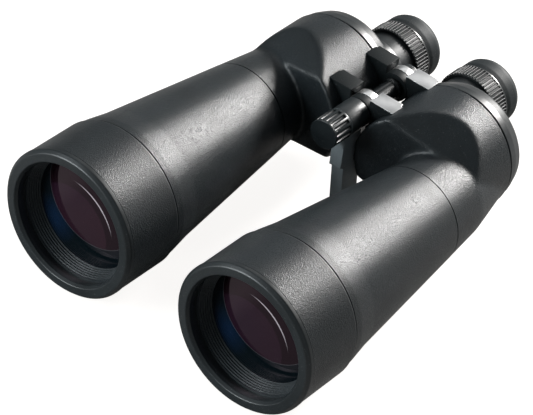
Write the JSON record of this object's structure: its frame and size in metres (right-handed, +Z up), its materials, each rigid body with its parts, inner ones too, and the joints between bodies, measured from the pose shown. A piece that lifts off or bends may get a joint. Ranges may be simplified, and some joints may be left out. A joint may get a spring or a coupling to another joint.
{
  "type": "astronomy binoculars",
  "caption": "Large porro-prism binoculars with long tapered barrels, offset prism housings, individually focused eyepieces, a folding centre hinge and a swinging tripod post.",
  "frame": {"origin": "under the middle of the whole object, on the ground plane that the objective ends stand on", "axes": "+X to the user's left when looking through it, +Y from the objectives to the eyepieces, +Z up"},
  "size_m": [0.221, 0.278, 0.093],
  "materials": {
    "grained_black": "fine pebble-grained black coating",
    "satin_black": "smooth satin black enamel",
    "gloss_black": "gloss black enamel",
    "anodised_black": "matt black anodised",
    "ribbed_black": "ribbed black rubber grip",
    "knob_black": "moulded black with worn flute crests",
    "soft_rubber": "soft matt rubber",
    "bright_metal": "bright satin machined",
    "steel": "ground steel",
    "brass": "turned brass",
    "coated_glass": "multi-coated, magenta and blue reflections",
    "inner_glass": "polished clear"
  },
  "bodies": {
    "left_half": {"left_objective_rim": "satin_black", "left_objective_bell": "grained_black", "left_objective_barrel": "grained_black", "left_retaining_ring": "anodised_black", "left_objective_cell": "anodised_black", "left_objective_crown": "coated_glass", "left_objective_flint": "inner_glass", "left_prism_housing": "grained_black", "left_prism_cover": "satin_black", "left_prism_shelf": "anodised_black", "left_front_prism": "inner_glass", "left_rear_prism": "inner_glass", "left_eyepiece_base": "satin_black", "left_eyepiece_tube": "gloss_black", "left_front_hinge_arm": "bright_metal", "left_rear_hinge_arm": "bright_metal", "hinge_axle": "steel", "hinge_sleeve": "gloss_black", "hinge_washers": "anodised_black", "rear_hinge_cap": "satin_black"},
    "right_half": {"right_objective_rim": "satin_black", "right_objective_bell": "grained_black", "right_objective_barrel": "grained_black", "right_retaining_ring": "anodised_black", "right_objective_cell": "anodised_black", "right_objective_crown": "coated_glass", "right_objective_flint": "inner_glass", "right_prism_housing": "grained_black", "right_prism_cover": "satin_black", "right_prism_shelf": "anodised_black", "right_front_prism": "inner_glass", "right_rear_prism": "inner_glass", "right_eyepiece_base": "satin_black", "right_eyepiece_tube": "gloss_black", "right_front_hinge_arm": "gloss_black", "right_rear_hinge_arm": "gloss_black"},
    "post": {"tripod_post": "satin_black", "thread_insert": "brass"},
    "knob": {"clamp_knob": "knob_black"},
    "left_ocular": {"left_ocular_cell": "anodised_black", "left_field_lens": "inner_glass", "left_eye_lens": "coated_glass"},
    "left_eyepiece_ring": {"left_focus_ring": "ribbed_black", "left_eyecup": "soft_rubber"},
    "right_ocular": {"right_ocular_cell": "anodised_black", "right_field_lens": "inner_glass", "right_eye_lens": "coated_glass"},
    "right_eyepiece_ring": {"right_focus_ring": "ribbed_black", "right_eyecup": "soft_rubber"}
  },
  "joints": [
    {"name": "interpupillary_fold", "type": "hinge", "parent": "left_half", "child": "right_half", "pos_m": [0, 0.05, 0.073], "axis": [0, 1, 0], "range_deg": [0, 45]},
    {"name": "post_swing", "type": "hinge", "parent": "left_half", "child": "post", "pos_m": [0, 0.031, 0.073], "axis": [0, 1, 0], "range_deg": [0, 12]},
    {"name": "knob_turn", "type": "hinge", "parent": "left_half", "child": "knob", "pos_m": [0, 0.0145, 0.073], "axis": [0, 1, 0], "range_deg": [0, 360]},
    {"name": "left_focus_travel", "type": "slide", "parent": "left_half", "child": "left_ocular", "axis": [0, 1, 0], "range_m": [-0.0025, 0.0025]},
    {"name": "left_focus_turn", "type": "hinge", "parent": "left_ocular", "child": "left_eyepiece_ring", "pos_m": [0.0293, 0.12, 0.0569], "axis": [0, 1, 0], "range_deg": [-90, 90]},
    {"name": "right_focus_travel", "type": "slide", "parent": "right_half", "child": "right_ocular", "axis": [0, 1, 0], "range_m": [-0.0025, 0.0025]},
    {"name": "right_focus_turn", "type": "hinge", "parent": "right_ocular", "child": "right_eyepiece_ring", "pos_m": [-0.0293, 0.12, 0.0569], "axis": [0, 1, 0], "range_deg": [-90, 90]}
  ],
  "couplings": [
    {"joint": "left_focus_turn", "follows": "left_focus_travel", "rad_per_m": 628.32},
    {"joint": "right_focus_turn", "follows": "right_focus_travel", "rad_per_m": 628.32}
  ]
}
